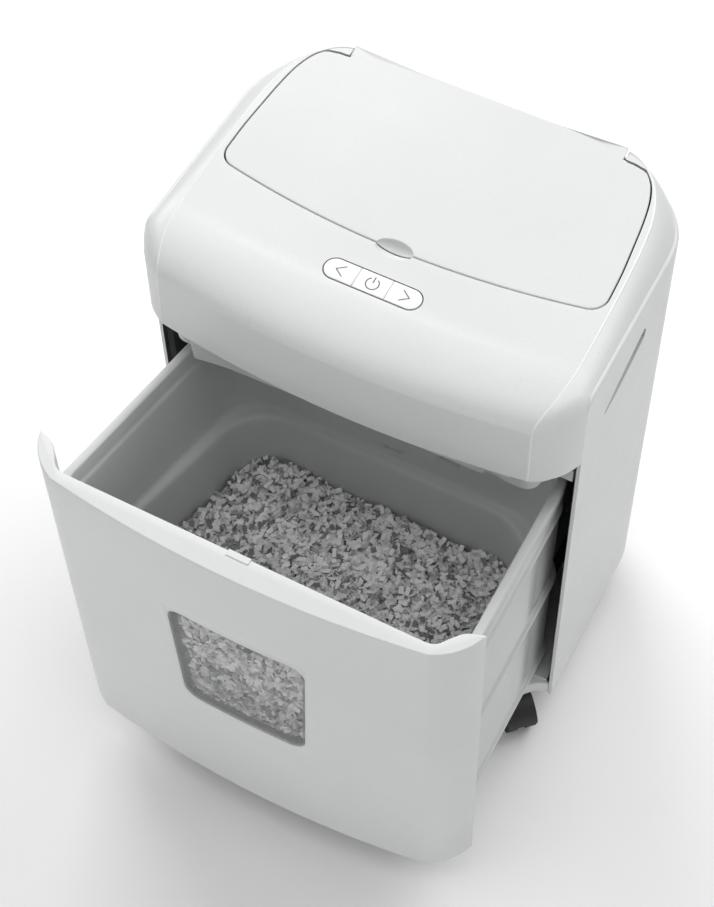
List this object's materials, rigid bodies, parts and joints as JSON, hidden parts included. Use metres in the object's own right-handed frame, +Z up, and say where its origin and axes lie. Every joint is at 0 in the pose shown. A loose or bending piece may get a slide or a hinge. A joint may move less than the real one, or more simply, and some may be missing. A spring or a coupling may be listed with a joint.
{
  "type": "paper shredder",
  "caption": "Auto-feed paper shredder on casters, with a hinged lid over its paper bay, a row of keys and a pull-out waste bin with a clear window, drawn out.",
  "frame": {"origin": "on the floor, centred under the box of the machine with its bin drawn out", "axes": "+Z up, the bin opens towards -Y, +X to the right seen from the front's own side"},
  "size_m": [0.36, 0.412, 0.5059],
  "materials": {
    "shell_white": "fine matt texture",
    "cover_white": "satin",
    "inner_grey": "matt",
    "bin_grey": "satin",
    "key_white": "satin",
    "dark_plastic": "matt",
    "black_rubber": "matt",
    "grey_rubber": "matt",
    "gear_nylon": "matt",
    "cutter_steel": "ground",
    "plain_steel": "bare",
    "screw_steel": "bright",
    "bush_brass": "plain",
    "board_green": "matt",
    "switch_red": "gloss",
    "window_clear": "clear",
    "paper_white": "matt"
  },
  "bodies": {
    "cabinet": {"cabinet_shell": "shell_white", "base_plate": "shell_white", "bin_rails": "dark_plastic", "head_cover": "cover_white", "head_chassis": "shell_white", "paper_tray": "inner_grey", "lid_pins": "plain_steel", "key_bezel": "inner_grey", "key_pad": "grey_rubber", "control_board": "board_green", "stripper_combs": "dark_plastic", "side_plate_left": "plain_steel", "side_plate_right": "plain_steel", "tie_rods": "plain_steel", "cutter_bushes": "bush_brass", "idler_pin": "plain_steel", "motor_can": "plain_steel", "power_board": "board_green", "bin_switch": "dark_plastic", "mains_inlet": "dark_plastic", "rocker_frame": "dark_plastic", "caster_sockets": "dark_plastic", "back_screws": "screw_steel"},
    "drawer": {"drawer_panel": "cover_white", "bin_tub": "bin_grey", "window_pane": "window_clear", "paper_shreds": "paper_white", "panel_screws": "screw_steel"},
    "top_lid": {"lid": "cover_white", "pressure_pins": "plain_steel", "pressure_springs": "plain_steel"},
    "pressure": {"pressure_plate": "inner_grey"},
    "reverse_key": {"key_reverse": "key_white"},
    "power_key": {"key_power": "key_white"},
    "forward_key": {"key_forward": "key_white"},
    "front_cutter": {"cutter_front": "cutter_steel", "sync_gear_front": "cutter_steel", "main_gear": "gear_nylon"},
    "rear_cutter": {"cutter_rear": "cutter_steel", "sync_gear_rear": "cutter_steel"},
    "feed": {"feed_shaft": "plain_steel", "feed_rollers": "grey_rubber", "feed_gear": "gear_nylon"},
    "idler": {"idler_gear": "gear_nylon"},
    "rotor": {"motor_shaft": "plain_steel", "motor_pinion": "cutter_steel", "motor_fan": "dark_plastic"},
    "rocker": {"rocker_switch": "switch_red"},
    "caster_fr": {"caster_hood_fr": "dark_plastic"},
    "wheels_fr": {"caster_wheels_fr": "black_rubber", "caster_axle_fr": "plain_steel"},
    "caster_fl": {"caster_hood_fl": "dark_plastic"},
    "wheels_fl": {"caster_wheels_fl": "black_rubber", "caster_axle_fl": "plain_steel"},
    "caster_rr": {"caster_hood_rr": "dark_plastic"},
    "wheels_rr": {"caster_wheels_rr": "black_rubber", "caster_axle_rr": "plain_steel"},
    "caster_rl": {"caster_hood_rl": "dark_plastic"},
    "wheels_rl": {"caster_wheels_rl": "black_rubber", "caster_axle_rl": "plain_steel"}
  },
  "joints": [
    {"name": "drawer_slide", "type": "slide", "parent": "cabinet", "child": "drawer", "axis": [0, -1, 0], "range_m": [-0.154, 0.03]},
    {"name": "lid_hinge", "type": "hinge", "parent": "cabinet", "child": "top_lid", "pos_m": [0, 0.1985, 0.50228], "axis": [-1, 0, 0], "range_deg": [0, 95]},
    {"name": "pressure_hinge", "type": "hinge", "parent": "top_lid", "child": "pressure", "pos_m": [0, 0.159, 0.482], "axis": [1, 0, 0], "range_deg": [0, 3], "stiffness_Nm_per_rad": 1.5},
    {"name": "reverse_press", "type": "slide", "parent": "cabinet", "child": "reverse_key", "axis": [0, 0.0741, -0.9973], "range_m": [0, 0.0012], "stiffness_N_per_m": 400},
    {"name": "power_press", "type": "slide", "parent": "cabinet", "child": "power_key", "axis": [0, 0.0741, -0.9973], "range_m": [0, 0.0012], "stiffness_N_per_m": 400},
    {"name": "forward_press", "type": "slide", "parent": "cabinet", "child": "forward_key", "axis": [0, 0.0741, -0.9973], "range_m": [0, 0.0012], "stiffness_N_per_m": 400},
    {"name": "front_cutter_spin", "type": "hinge", "parent": "cabinet", "child": "front_cutter", "pos_m": [0, 0.102, 0.428], "axis": [1, 0, 0], "continuous": true},
    {"name": "rear_cutter_spin", "type": "hinge", "parent": "cabinet", "child": "rear_cutter", "pos_m": [0, 0.128, 0.428], "axis": [1, 0, 0], "continuous": true},
    {"name": "feed_spin", "type": "hinge", "parent": "cabinet", "child": "feed", "pos_m": [0, 0.07721, 0.44902], "axis": [1, 0, 0], "continuous": true},
    {"name": "idler_spin", "type": "hinge", "parent": "cabinet", "child": "idler", "pos_m": [0, 0.06777, 0.42072], "axis": [1, 0, 0], "continuous": true},
    {"name": "rotor_spin", "type": "hinge", "parent": "cabinet", "child": "rotor", "pos_m": [0, 0.03688, 0.42342], "axis": [1, 0, 0], "continuous": true},
    {"name": "rocker_tilt", "type": "hinge", "parent": "cabinet", "child": "rocker", "pos_m": [0, 0.2005, 0.3965], "axis": [1, 0, 0], "range_deg": [0, 16]},
    {"name": "swivel_fr", "type": "hinge", "parent": "cabinet", "child": "caster_fr", "pos_m": [0.141, -0.007, 0.045], "axis": [0, 0, 1], "continuous": true},
    {"name": "roll_fr", "type": "hinge", "parent": "caster_fr", "child": "wheels_fr", "pos_m": [0.15231, -0.01831, 0.02], "axis": [0.7071, 0.7071, 0], "continuous": true},
    {"name": "swivel_fl", "type": "hinge", "parent": "cabinet", "child": "caster_fl", "pos_m": [-0.141, -0.007, 0.045], "axis": [0, 0, 1], "continuous": true},
    {"name": "roll_fl", "type": "hinge", "parent": "caster_fl", "child": "wheels_fl", "pos_m": [-0.12969, -0.01831, 0.02], "axis": [0.7071, 0.7071, 0], "continuous": true},
    {"name": "swivel_rr", "type": "hinge", "parent": "cabinet", "child": "caster_rr", "pos_m": [0.138, 0.1575, 0.045], "axis": [0, 0, 1], "continuous": true},
    {"name": "roll_rr", "type": "hinge", "parent": "caster_rr", "child": "wheels_rr", "pos_m": [0.14931, 0.14619, 0.02], "axis": [0.7071, 0.7071, 0], "continuous": true},
    {"name": "swivel_rl", "type": "hinge", "parent": "cabinet", "child": "caster_rl", "pos_m": [-0.138, 0.1575, 0.045], "axis": [0, 0, 1], "continuous": true},
    {"name": "roll_rl", "type": "hinge", "parent": "caster_rl", "child": "wheels_rl", "pos_m": [-0.12669, 0.14619, 0.02], "axis": [0.7071, 0.7071, 0], "continuous": true}
  ],
  "couplings": [
    {"joint": "rear_cutter_spin", "follows": "front_cutter_spin", "ratio": -1},
    {"joint": "idler_spin", "follows": "front_cutter_spin", "ratio": -4},
    {"joint": "rotor_spin", "follows": "front_cutter_spin", "ratio": 13.714},
    {"joint": "feed_spin", "follows": "front_cutter_spin", "ratio": -0.66667}
  ]
}
